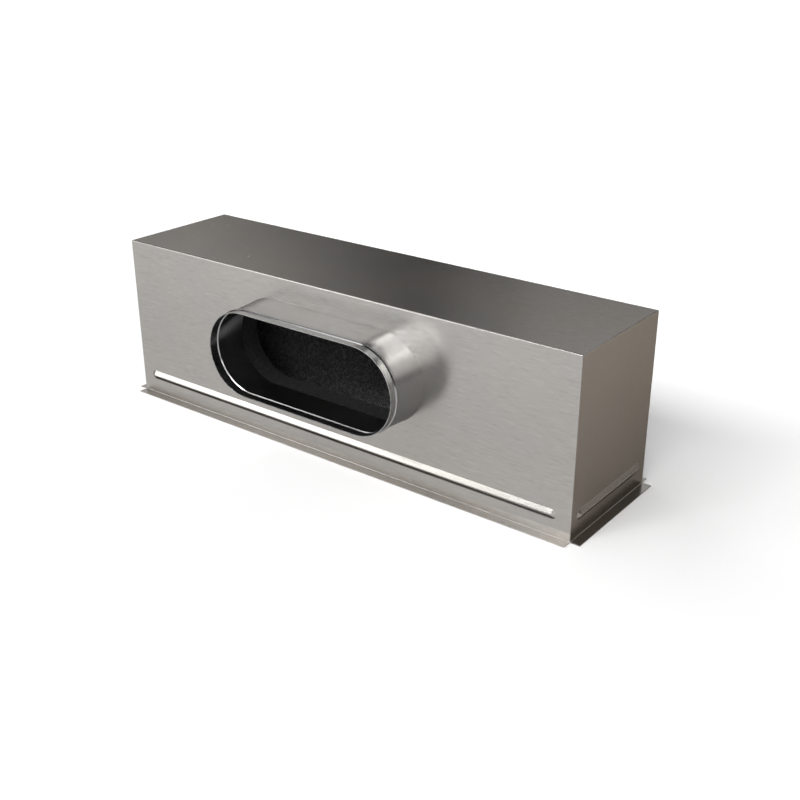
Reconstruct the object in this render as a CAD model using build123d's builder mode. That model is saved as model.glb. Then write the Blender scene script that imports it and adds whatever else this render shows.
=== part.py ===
"""Insulated supply plenum: a folded steel box lined with foam, with a flat-oval spigot.

Millimetres. X runs along the length, the spigot stands out of the front towards -Y, and Z is up.
The flanges rest on z = 0 and the origin is the centre of the open bottom.
"""
import math
import os

from build123d import *

# Box
length = 600.0
depth = 150.0
height = 190.5
sheet = 0.8
top_bend = 1.2

# Flanges turned out along the bottom
flange_reach = 10.7
fold_inner = 0.8
fold_outer = fold_inner + sheet

# Pressed stiffening swage on each side: straight flanks between a rounded crest and rounded feet
swage_height = 24.5
swage_width = 11.2
swage_proud = 3.0
swage_crest_inner = 0.8
swage_crest = swage_crest_inner + sheet
swage_root = 1.0
swage_gap_long = 15.5
swage_gap_short = 10.0

# Flat-oval spigot: its size over the rim, how much it widens all round towards the box,
# and the gap between its hole and the foam under the top
spigot_width = 249.0
spigot_rise = 95.5
spigot_taper = 2.0
spigot_reach = 48.5
spigot_headroom = 1.45

# Rolled bead behind the spigot's rim
bead_from_rim = 10.0
bead_width = 5.0
bead_proud = 1.0

# Foam lining
lining = 25.0
lining_foot = 2.0

# Derived sizes
half_length = length / 2
half_depth = depth / 2
inner_length = length - 2 * sheet
inner_depth = depth - 2 * sheet
inner_top = height - sheet
collar_radius = spigot_rise / 2
bore_radius = collar_radius - sheet
root_radius = collar_radius + spigot_taper
hole_width = spigot_width + 2 * spigot_taper
hole_rise = spigot_rise + 2 * spigot_taper
spigot_run = spigot_width - spigot_rise
bead_centre = spigot_reach - bead_from_rim
lining_top_level = inner_top - lining
spigot_centre = lining_top_level - spigot_headroom - hole_rise / 2
lining_rise = lining_top_level - lining_foot


# The slope of the swage's flank, which touches the crest's radius above and the foot's radius below
swage_span = swage_width / 2
crest_level = swage_proud - swage_crest
centre_drop = crest_level - swage_root
centre_distance = math.hypot(swage_span, centre_drop)
flank_slope = math.asin((swage_crest + swage_root) / centre_distance) + math.atan2(centre_drop, swage_span)
flank_degrees = math.degrees(flank_slope)

# The rolled bead, and the groove that it leaves inside the spigot
bead_radius = ((bead_width / 2) ** 2 + bead_proud ** 2) / (2 * bead_proud)
bead_sink = bead_radius - bead_proud
bead_slope = math.degrees(math.asin(bead_sink / bead_radius))
groove_radius = bore_radius + bead_proud
groove_half = bead_width / 2 - sheet

# The four sides: a plane with local x along the side, local y up and local z outwards,
# the length of the side and the straight run of its swage
long_run = length - 2 * swage_gap_long - 2 * swage_span
short_run = depth - 2 * swage_gap_short - 2 * swage_span
front_side = Plane(origin=(0, -half_depth, 0), x_dir=(1, 0, 0), z_dir=(0, -1, 0))
back_side = Plane(origin=(0, half_depth, 0), x_dir=(-1, 0, 0), z_dir=(0, 1, 0))
right_side = Plane(origin=(half_length, 0, 0), x_dir=(0, 1, 0), z_dir=(1, 0, 0))
left_side = Plane(origin=(-half_length, 0, 0), x_dir=(0, -1, 0), z_dir=(-1, 0, 0))
sides = (
    (front_side, length, long_run),
    (back_side, length, long_run),
    (right_side, depth, short_run),
    (left_side, depth, short_run),
)

# Half the section of the pressed swage: local x across it from its middle, local y outwards
crest_centre = Vector(0, crest_level)
foot_centre = Vector(swage_span, swage_root)
foot_inner = swage_root + sheet
off_flank = Vector(math.sin(flank_slope), math.cos(flank_slope))
with BuildSketch() as half_swage:
    with BuildLine():
        Line((0, swage_proud - sheet), (0, swage_proud))
        CenterArc(crest_centre, swage_crest, 90, -flank_degrees)
        Line(crest_centre + off_flank * swage_crest, foot_centre - off_flank * swage_root)
        CenterArc(foot_centre, swage_root, 270 - flank_degrees, flank_degrees)
        Line((swage_span, 0), (swage_span, -sheet))
        CenterArc(foot_centre, foot_inner, 270, -flank_degrees)
        Line(foot_centre - off_flank * foot_inner, crest_centre + off_flank * swage_crest_inner)
        CenterArc(crest_centre, swage_crest_inner, 90 - flank_degrees, flank_degrees)
    make_face()

# Section of the spigot's wall: local x out from the front, local y out from the spigot's middle
bead_start = bead_centre - bead_width / 2
bead_end = bead_centre + bead_width / 2
bead_crest = (bead_centre, collar_radius - bead_sink)
groove_start = bead_centre - groove_half
groove_end = bead_centre + groove_half
groove_floor_start = bead_centre - groove_half / 2
groove_floor_end = bead_centre + groove_half / 2
with BuildSketch() as spigot_section:
    with BuildLine():
        Line((-sheet, root_radius - sheet), (-sheet, root_radius))
        Line((-sheet, root_radius), (0, root_radius))
        Line((0, root_radius), (bead_start, collar_radius))
        CenterArc(bead_crest, bead_radius, 180 - bead_slope, 2 * bead_slope - 180)
        Line((bead_end, collar_radius), (spigot_reach, collar_radius))
        Line((spigot_reach, collar_radius), (spigot_reach, bore_radius))
        Line((spigot_reach, bore_radius), (groove_end, bore_radius))
        Line((groove_end, bore_radius), (groove_floor_end, groove_radius))
        Line((groove_floor_end, groove_radius), (groove_floor_start, groove_radius))
        Line((groove_floor_start, groove_radius), (groove_start, bore_radius))
        Line((groove_start, bore_radius), (0, root_radius - sheet))
        Line((0, root_radius - sheet), (-sheet, root_radius - sheet))
    make_face()

# Folded shell
with BuildPart() as plenum_shell:
    # Walls and top, with the bends along the top edges
    with BuildSketch(Plane.XY.offset(fold_outer)):
        Rectangle(length, depth)
    extrude(amount=height - fold_outer)
    top_edges = plenum_shell.faces().sort_by(Axis.Z)[-1].edges()
    fillet(top_edges, radius=top_bend)
    with BuildSketch(Plane.XY.offset(fold_outer)):
        Rectangle(inner_length, inner_depth)
    extrude(amount=inner_top - fold_outer, mode=Mode.SUBTRACT)

    # Oval hole for the spigot
    with BuildSketch(front_side):
        with Locations((0, spigot_centre)):
            SlotOverall(hole_width, hole_rise)
    extrude(amount=-2 * sheet, mode=Mode.SUBTRACT)

    for side, side_length, run in sides:
        along = side.x_dir
        outwards = side.z_dir

        # Flange folded out along the foot of the side
        flange_end = side.origin + along * (side_length / 2)
        with BuildSketch(Plane(origin=flange_end, x_dir=outwards, z_dir=-along)):
            with BuildLine():
                Line((flange_reach, 0), (flange_reach, sheet))
                Line((flange_reach, sheet), (fold_inner, sheet))
                CenterArc((fold_inner, fold_outer), fold_inner, 270, -90)
                Line((0, fold_outer), (-sheet, fold_outer))
                CenterArc((fold_inner, fold_outer), fold_outer, 180, 90)
                Line((fold_inner, 0), (flange_reach, 0))
            make_face()
        extrude(amount=side_length)

        # Swage pressed outwards: the flat sheet opened, then the round-ended ridge set in its place
        with BuildSketch(side):
            with Locations((0, swage_height)):
                SlotOverall(run + 2 * swage_span, 2 * swage_span)
        extrude(amount=-2 * sheet, mode=Mode.SUBTRACT)
        near_end = side.origin + Vector(0, 0, swage_height) - along * (run / 2)
        far_end = side.origin + Vector(0, 0, swage_height) + along * (run / 2)
        with BuildSketch(Plane(origin=near_end, x_dir=(0, 0, 1), z_dir=along)):
            add(half_swage.sketch)
            mirror(about=Plane.YZ)
        extrude(amount=run)
        with BuildSketch(Plane(origin=near_end, x_dir=(0, 0, 1), z_dir=along)):
            add(half_swage.sketch)
        revolve(axis=Axis(near_end, outwards), revolution_arc=180)
        with BuildSketch(Plane(origin=far_end, x_dir=(0, 0, 1), z_dir=along)):
            add(half_swage.sketch)
        revolve(axis=Axis(far_end, -outwards), revolution_arc=180)

# Flat-oval spigot: two straight runs joined by two round ends
spigot_right = Vector(spigot_run / 2, -half_depth, spigot_centre)
spigot_left = Vector(-spigot_run / 2, -half_depth, spigot_centre)
upper_section = Plane(origin=spigot_right, x_dir=(0, -1, 0), z_dir=(-1, 0, 0))
lower_section = Plane(origin=spigot_left, x_dir=(0, -1, 0), z_dir=(1, 0, 0))
with BuildPart() as oval_spigot:
    with BuildSketch(upper_section):
        add(spigot_section.sketch)
    extrude(amount=spigot_run)
    with BuildSketch(lower_section):
        add(spigot_section.sketch)
    extrude(amount=spigot_run)
    with BuildSketch(upper_section):
        add(spigot_section.sketch)
    revolve(axis=Axis(spigot_right, (0, 1, 0)), revolution_arc=180)
    with BuildSketch(lower_section):
        add(spigot_section.sketch)
    revolve(axis=Axis(spigot_left, (0, 1, 0)), revolution_arc=180)

# Foam boards
with BuildPart() as lining_top:
    with BuildSketch(Plane.XY.offset(lining_top_level)):
        Rectangle(inner_length, inner_depth)
    extrude(amount=lining)

with BuildPart() as lining_front:
    with BuildSketch(Plane.XY.offset(lining_foot)):
        with Locations((0, (lining - inner_depth) / 2)):
            Rectangle(inner_length, lining)
    extrude(amount=lining_rise)
    with BuildSketch(front_side):
        with Locations((0, spigot_centre)):
            SlotOverall(hole_width, hole_rise)
    extrude(amount=-(sheet + 2 * lining), mode=Mode.SUBTRACT)

with BuildPart() as lining_back:
    with BuildSketch(Plane.XY.offset(lining_foot)):
        with Locations((0, (inner_depth - lining) / 2)):
            Rectangle(inner_length, lining)
    extrude(amount=lining_rise)

with BuildPart() as lining_left:
    with BuildSketch(Plane.XY.offset(lining_foot)):
        with Locations(((lining - inner_length) / 2, 0)):
            Rectangle(lining, inner_depth - 2 * lining)
    extrude(amount=lining_rise)

with BuildPart() as lining_right:
    with BuildSketch(Plane.XY.offset(lining_foot)):
        with Locations(((inner_length - lining) / 2, 0)):
            Rectangle(lining, inner_depth - 2 * lining)
    extrude(amount=lining_rise)

# Export
plenum_shell.part.label = "plenum_shell"
oval_spigot.part.label = "oval_spigot"
lining_top.part.label = "lining_top"
lining_front.part.label = "lining_front"
lining_back.part.label = "lining_back"
lining_left.part.label = "lining_left"
lining_right.part.label = "lining_right"

os.makedirs("parts", exist_ok=True)
export_step(plenum_shell.part, "parts/plenum_shell.step")
export_step(oval_spigot.part, "parts/oval_spigot.step")
export_step(lining_top.part, "parts/lining_top.step")
export_step(lining_front.part, "parts/lining_front.step")
export_step(lining_back.part, "parts/lining_back.step")
export_step(lining_left.part, "parts/lining_left.step")
export_step(lining_right.part, "parts/lining_right.step")
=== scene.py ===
"""Insulated supply plenum: finishes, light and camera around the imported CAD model.

Metres, in the model's own frame: X along the length, the spigot towards -Y, Z up, the flanges on z = 0.
"""
import math

import bpy
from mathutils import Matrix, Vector

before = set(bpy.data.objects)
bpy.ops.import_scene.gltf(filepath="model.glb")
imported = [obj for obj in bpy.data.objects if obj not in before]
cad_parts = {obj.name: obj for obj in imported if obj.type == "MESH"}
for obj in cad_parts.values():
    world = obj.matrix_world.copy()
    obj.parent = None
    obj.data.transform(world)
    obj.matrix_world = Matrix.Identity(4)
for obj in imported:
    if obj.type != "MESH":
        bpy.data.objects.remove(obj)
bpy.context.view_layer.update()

# Camera, fitted to the corners of the box
camera_place = Vector((0.72474, -0.88608, 0.55069))
camera_aim = Vector((-0.55829, 0.72248, -0.40783))
camera_roll = math.radians(-0.06)
camera_lens = 50

# Steel: two close tones that drift into each other, and the tint of its reflections at a grazing angle
shell_warm = (0.363, 0.346, 0.326)
shell_cool = (0.358, 0.347, 0.332)
shell_edge_tint = (0.20, 0.20, 0.20)
shell_roughness = 0.25
spigot_warm = (0.356, 0.354, 0.352)
spigot_cool = (0.352, 0.355, 0.358)
spigot_edge_tint = (0.50, 0.50, 0.50)
spigot_roughness = 0.22

# The shell's two end panels: painted shade that darkens and warms the steel there, none elsewhere,
# and how far a face has to turn towards X to count as one of them
end_painted_shade = (0.80, 0.74, 0.68)
no_painted_shade = (1.0, 1.0, 1.0)
end_slope = 0.8

# The way in which the steel smears its reflections, and the small radius that softens its edges
steel_anisotropy = 0.5
shell_smear = (0, 0.05, 1)
spigot_smear = (0, 1, 0)
edge_radius = 0.0005
edge_samples = 4

# Rolling marks: short fine dashes along the sheet. Their counts per metre along and across it,
# the gain that lifts them out of the noise, and how much they change the tone and the roughness
mark_along = 95.0
mark_across = 540.0
mark_detail = 1.0
mark_gain = 110.0
mark_shade = 0.09
mark_rough = 0.012
noise_middle = 0.5

# Smudges: wide faint changes of tone and gloss. Their count per metre, and the ranges of the noise
# that the drift between the two tones and the changes of shade and gloss are spread over
smudge_scale = 14.0
smudge_detail = 3.0
smudge_drift_range = (0.35, 0.65)
smudge_range = (0.3, 0.7)
smudge_shade = 0.015
smudge_rough = 0.012

# Foam: the tone between its cells and that of its pale specks. The front board, whose cut edge shows
# inside the spigot, is a darker copy with painted shade
foam_dark = 0.038
foam_light = 0.135
painted_shade_foam_dark = 0.007
painted_shade_foam_light = 0.022

# Foam cells: their count per metre, the ranges of the noise that the specks and the roughness are
# spread over, and the depth of the cells
foam_cells = 620.0
foam_detail = 2.0
foam_grain = 0.6
foam_speck_range = (0.45, 0.68)
foam_rough_range = (0.4, 0.7)
foam_rough_dark = 0.95
foam_rough_light = 0.8
foam_specular = 0.2
foam_bump = 0.6
foam_depth = 0.0006

# Floor: its glow reaches full white at this distance behind the middle of the object,
# and all round it grows from the start to the end
floor_size = 60.0
floor_colour = (0.95, 0.95, 0.95)
floor_glow_reach = 2.5
floor_glow_start = 3.0
floor_glow_end = 5.5

# Studio: its even strength, and the heights over which the white at the horizon fades, as sines
studio_dim = 0.03
horizon_low = math.sin(math.radians(1))
horizon_high = math.sin(math.radians(8))

# Lamps: the point that they face, and how far from it they stand
object_centre = Vector((0, 0, 0.09))
lamp_distance = 6.0

# Sockets of the mix node by number, because those for values and for colours share their names
mix_share = 0
mix_value_inputs = (2, 3)
mix_value_output = 0
mix_colour_inputs = (6, 7)
mix_colour_output = 2


def opaque(colour):
    """A colour with full alpha."""
    return (*colour, 1.0)


def add_node(tree, kind, **settings):
    """A new node with its settings."""
    node = tree.nodes.new(kind)
    for name, value in settings.items():
        setattr(node, name, value)
    return node


def new_material(name):
    """A new node material, its node tree and its principled shader."""
    material = bpy.data.materials.new(name)
    material.use_nodes = True
    return material, material.node_tree, material.node_tree.nodes["Principled BSDF"]


def feed(tree, socket, value):
    """Links the output of a node to a socket, or sets a number or colour on it."""
    if isinstance(value, bpy.types.NodeSocket):
        tree.links.new(value, socket)
    else:
        socket.default_value = value


def object_place(tree):
    """The place on the object, in metres."""
    return add_node(tree, "ShaderNodeTexCoord").outputs["Object"]


def split(tree, vector):
    """The X, Y and Z outputs of a vector."""
    node = add_node(tree, "ShaderNodeSeparateXYZ")
    tree.links.new(vector, node.inputs[0])
    return node.outputs


def math_node(tree, operation, first, second=0.0):
    """A math node on outputs of nodes or numbers; gives its own output."""
    node = add_node(tree, "ShaderNodeMath", operation=operation)
    feed(tree, node.inputs[0], first)
    feed(tree, node.inputs[1], second)
    return node.outputs[0]


def spread(tree, value, low, high, from_low, from_high):
    """Maps a value in one range onto the range from low to high, kept inside it."""
    node = add_node(tree, "ShaderNodeMapRange")
    tree.links.new(value, node.inputs["Value"])
    node.inputs["From Min"].default_value = from_low
    node.inputs["From Max"].default_value = from_high
    node.inputs["To Min"].default_value = low
    node.inputs["To Max"].default_value = high
    return node.outputs["Result"]


def noise(tree, place, scale, detail, grain=0.5):
    """A noise texture's value at a place, with one scale for each axis."""
    mapping = add_node(tree, "ShaderNodeMapping")
    mapping.inputs["Scale"].default_value = scale
    tree.links.new(place, mapping.inputs["Vector"])
    texture = add_node(tree, "ShaderNodeTexNoise")
    texture.inputs["Scale"].default_value = 1.0
    texture.inputs["Detail"].default_value = detail
    texture.inputs["Roughness"].default_value = grain
    tree.links.new(mapping.outputs["Vector"], texture.inputs["Vector"])
    return texture.outputs["Fac"]


def mix_values(tree, share, first, second):
    """A blend of two values by a share."""
    node = add_node(tree, "ShaderNodeMix", data_type="FLOAT")
    feed(tree, node.inputs[mix_share], share)
    for number, value in zip(mix_value_inputs, (first, second)):
        feed(tree, node.inputs[number], value)
    return node.outputs[mix_value_output]


def mix_colours(tree, share, first, second, way="MIX"):
    """A blend of two colours by a share, plain or in another way."""
    node = add_node(tree, "ShaderNodeMix", data_type="RGBA", blend_type=way)
    feed(tree, node.inputs[mix_share], share)
    for number, colour in zip(mix_colour_inputs, (first, second)):
        feed(tree, node.inputs[number], colour)
    return node.outputs[mix_colour_output]


def multiply_colours(tree, first, second):
    """The product of two colours, or of a colour and a value."""
    return mix_colours(tree, 1.0, first, second, "MULTIPLY")


def rolling_marks(tree, place, along_axes):
    """Sparse short marks along the axes that are named, from -1 to 1 and near 0 between the marks."""
    scale = [mark_along if axis in along_axes else mark_across for axis in "XYZ"]
    grain = math_node(tree, "SUBTRACT", noise(tree, place, scale, mark_detail), noise_middle)
    cubed = math_node(tree, "MULTIPLY", math_node(tree, "MULTIPLY", grain, grain), grain)
    return spread(tree, math_node(tree, "MULTIPLY", cubed, mark_gain), -1.0, 1.0, -1.0, 1.0)


def end_panels(tree):
    """1 on the faces that are turned towards X, either way, and 0 on the others."""
    normal = add_node(tree, "ShaderNodeTexCoord").outputs["Normal"]
    sideways = math_node(tree, "ABSOLUTE", split(tree, normal)["X"])
    return math_node(tree, "GREATER_THAN", sideways, end_slope)


def brushed_steel(name, cool, warm, edge_tint, roughness, smear, mark_axes, end_mark_axes=None):
    """Rolled sheet steel: fine marks, faint smudges, softened edges, and reflections smeared one way.

    The marks run along mark_axes. Where end_mark_axes are given, the end panels have their marks
    along those, and painted shade that darkens and warms them.
    """
    material, tree, shader = new_material(name)
    place = object_place(tree)
    marks = rolling_marks(tree, place, mark_axes)
    smudge = noise(tree, place, (smudge_scale, smudge_scale, smudge_scale), smudge_detail)

    drift = spread(tree, smudge, 0.0, 1.0, *smudge_drift_range)
    colour = mix_colours(tree, drift, opaque(cool), opaque(warm))
    if end_mark_axes:
        is_end = end_panels(tree)
        marks = mix_values(tree, is_end, marks, rolling_marks(tree, place, end_mark_axes))
        # Painted shade: the end panels' steel is darkened and warmed
        panel_painted_shade = mix_colours(tree, is_end, opaque(no_painted_shade), opaque(end_painted_shade))
        colour = multiply_colours(tree, colour, panel_painted_shade)
    mark_tone = spread(tree, marks, 1 - mark_shade, 1 + mark_shade, -1.0, 1.0)
    smudge_tone = spread(tree, smudge, 1 - smudge_shade, 1 + smudge_shade, *smudge_range)
    shade = math_node(tree, "MULTIPLY", mark_tone, smudge_tone)
    tree.links.new(multiply_colours(tree, colour, shade), shader.inputs["Base Color"])

    mark_gloss = spread(tree, marks, -mark_rough, mark_rough, -1.0, 1.0)
    smudge_gloss = spread(tree, smudge, roughness - smudge_rough, roughness + smudge_rough, *smudge_range)
    tree.links.new(math_node(tree, "ADD", mark_gloss, smudge_gloss), shader.inputs["Roughness"])

    edges = add_node(tree, "ShaderNodeBevel", samples=edge_samples)
    edges.inputs["Radius"].default_value = edge_radius
    tree.links.new(edges.outputs["Normal"], shader.inputs["Normal"])

    tangent = add_node(tree, "ShaderNodeCombineXYZ")
    for socket, part in zip(tangent.inputs, smear):
        socket.default_value = part
    tree.links.new(tangent.outputs[0], shader.inputs["Tangent"])
    shader.inputs["Anisotropic"].default_value = steel_anisotropy
    shader.inputs["Specular Tint"].default_value = opaque(edge_tint)
    shader.inputs["Metallic"].default_value = 1.0
    return material


def foam(name, dark, light):
    """Black closed-cell foam board: a matte face with fine open cells and pale specks."""
    material, tree, shader = new_material(name)
    place = object_place(tree)
    cells = noise(tree, place, (foam_cells, foam_cells, foam_cells), foam_detail, foam_grain)
    specks = spread(tree, cells, 0.0, 1.0, *foam_speck_range)
    tone = mix_colours(tree, specks, opaque((dark, dark, dark)), opaque((light, light, light)))
    tree.links.new(tone, shader.inputs["Base Color"])
    gloss = spread(tree, cells, foam_rough_dark, foam_rough_light, *foam_rough_range)
    tree.links.new(gloss, shader.inputs["Roughness"])
    bump = add_node(tree, "ShaderNodeBump")
    bump.inputs["Strength"].default_value = foam_bump
    bump.inputs["Distance"].default_value = foam_depth
    tree.links.new(cells, bump.inputs["Height"])
    tree.links.new(bump.outputs["Normal"], shader.inputs["Normal"])
    shader.inputs["Specular IOR Level"].default_value = foam_specular
    return material


def dress(node, material):
    """Puts one material on a CAD node."""
    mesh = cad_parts[node].data
    mesh.materials.clear()
    mesh.materials.append(material)


def seen_rays(tree):
    """1 for what the camera sees, straight or in metal or glass, and 0 for the light on things."""
    path = add_node(tree, "ShaderNodeLightPath")
    seen = math_node(tree, "MAXIMUM", path.outputs["Is Camera Ray"], path.outputs["Is Glossy Ray"])
    return math_node(tree, "MAXIMUM", seen, path.outputs["Is Transmission Ray"])


def floor_material():
    """A pale matte floor that keeps its shadows, and glows behind and far off, to look white there."""
    material, tree, shader = new_material("stage_floor")
    tree.nodes.remove(shader)
    place = object_place(tree)
    distance = add_node(tree, "ShaderNodeVectorMath", operation="LENGTH")
    tree.links.new(place, distance.inputs[0])
    behind = spread(tree, split(tree, place)["Y"], 0.0, 1.0, 0.0, floor_glow_reach)
    far_off = spread(tree, distance.outputs["Value"], 0.0, 1.0, floor_glow_start, floor_glow_end)
    glow = math_node(tree, "MAXIMUM", behind, far_off)
    light = add_node(tree, "ShaderNodeEmission")
    tree.links.new(math_node(tree, "MULTIPLY", glow, seen_rays(tree)), light.inputs["Strength"])
    matte = add_node(tree, "ShaderNodeBsdfDiffuse")
    matte.inputs["Color"].default_value = opaque(floor_colour)
    both = add_node(tree, "ShaderNodeAddShader")
    tree.links.new(light.outputs[0], both.inputs[0])
    tree.links.new(matte.outputs[0], both.inputs[1])
    tree.links.new(both.outputs[0], tree.nodes["Material Output"].inputs["Surface"])
    return material


def make_floor():
    """The floor under the flanges."""
    half = floor_size / 2
    corners = [(-half, -half, 0), (half, -half, 0), (half, half, 0), (-half, half, 0)]
    mesh = bpy.data.meshes.new("stage_floor")
    mesh.from_pydata(corners, [], [(0, 1, 2, 3)])
    floor = bpy.data.objects.new("stage_floor", mesh)
    mesh.materials.append(floor_material())
    bpy.context.scene.collection.objects.link(floor)


def towards(azimuth, elevation):
    """A unit vector from the object: azimuth 0 is the front, -Y, and 90 the right, +X, in degrees."""
    turn = math.radians(azimuth)
    rise = math.radians(elevation)
    return Vector((math.sin(turn) * math.cos(rise), -math.cos(turn) * math.cos(rise), math.sin(rise)))


def softbox(name, azimuth, elevation, width, height, radiance):
    """A rectangular soft lamp that faces the object and is as bright as a surface of that radiance."""
    lamp = bpy.data.lights.new(name, "AREA")
    lamp.shape = "RECTANGLE"
    lamp.size = width
    lamp.size_y = height
    lamp.energy = math.pi * width * height * radiance
    place = towards(azimuth, elevation)
    holder = bpy.data.objects.new(name, lamp)
    holder.location = object_centre + place * lamp_distance
    holder.rotation_euler = place.to_track_quat("Z", "Y").to_euler()
    holder.visible_camera = False
    bpy.context.scene.collection.objects.link(holder)


def make_lights():
    """Softboxes: name, azimuth and elevation in degrees, width and height in metres, radiance."""
    # The frontal key
    softbox("key_softbox", 2, 44, 5.2, 1.8, 10.0)
    softbox("key_left_softbox", -26, 38, 1.4, 1.2, 7.5)
    softbox("key_right_softbox", 33, 35, 1.4, 1.4, 8.0)
    # Fill from the left and the right of the front
    softbox("left_softbox", -45, 27, 1.6, 1.4, 3.6)
    softbox("wide_left_softbox", -44, 22, 3.0, 2.2, 2.3)
    softbox("low_left_softbox", -40, 8, 2.4, 1.4, 3.5)
    softbox("right_softbox", 37, 20, 2.5, 2.3, 5.0)
    # High over the left end
    softbox("overhead_softbox", -90, 57, 3.6, 1.6, 2.5)
    # Weak ones behind, high up and to the right
    softbox("back_high_softbox", -174, 44, 2.2, 1.6, 1.1)
    softbox("far_right_softbox", 142, 24, 3.0, 3.0, 0.9)
    # The wide faint one behind that the top reflects, with narrower ones in steps at its two ends
    softbox("back_softbox", -140, 18, 5.6, 3.4, 0.28)
    softbox("back_left_softbox_1", -122, 16, 3.7, 3.2, 0.4)
    softbox("back_left_softbox_2", -120, 16, 3.2, 3.2, 0.45)
    softbox("back_left_softbox_3", -118, 16, 2.7, 3.2, 0.5)
    softbox("back_right_softbox_1", -161, 21, 3.0, 3.4, 0.4)
    softbox("back_right_softbox_2", -163, 21, 2.5, 3.4, 0.4)


def make_world():
    """A dim even studio that looks white just above the horizon, where it meets the floor."""
    world = bpy.data.worlds.new("studio")
    world.use_nodes = True
    tree = world.node_tree
    background = tree.nodes["Background"]
    background.inputs["Color"].default_value = (1, 1, 1, 1)
    direction = add_node(tree, "ShaderNodeTexCoord").outputs["Generated"]
    horizon = spread(tree, split(tree, direction)["Z"], 1.0, 0.0, horizon_low, horizon_high)
    glow = math_node(tree, "MULTIPLY", horizon, seen_rays(tree))
    tree.links.new(math_node(tree, "MAXIMUM", glow, studio_dim), background.inputs["Strength"])
    bpy.context.scene.world = world


def make_camera():
    """The camera at the fitted place, turned the fitted way."""
    camera = bpy.data.cameras.new("camera")
    camera.lens = camera_lens
    holder = bpy.data.objects.new("camera", camera)
    holder.location = camera_place
    rotation = camera_aim.to_track_quat("-Z", "Y").to_euler()
    rotation.rotate_axis("Z", camera_roll)
    holder.rotation_euler = rotation
    bpy.context.scene.collection.objects.link(holder)
    bpy.context.scene.camera = holder


make_camera()
make_world()
make_floor()
make_lights()

shell_steel = brushed_steel(
    "shell_steel", shell_cool, shell_warm, shell_edge_tint, shell_roughness, shell_smear,
    mark_axes="X", end_mark_axes="Y",
)
spigot_steel = brushed_steel(
    "spigot_steel", spigot_cool, spigot_warm, spigot_edge_tint, spigot_roughness, spigot_smear,
    mark_axes="XZ",
)
board_foam = foam("board_foam", foam_dark, foam_light)
# The front board's foam: a darker copy of the same foam, with painted shade
painted_shade_foam = foam("painted_shade_foam", painted_shade_foam_dark, painted_shade_foam_light)

dress("plenum_shell", shell_steel)
dress("oval_spigot", spigot_steel)
for lining in ("lining_top", "lining_back", "lining_left", "lining_right"):
    dress(lining, board_foam)
# The front board gets the darker foam copy with painted shade
dress("lining_front", painted_shade_foam)

bpy.context.scene.view_settings.view_transform = "Standard"
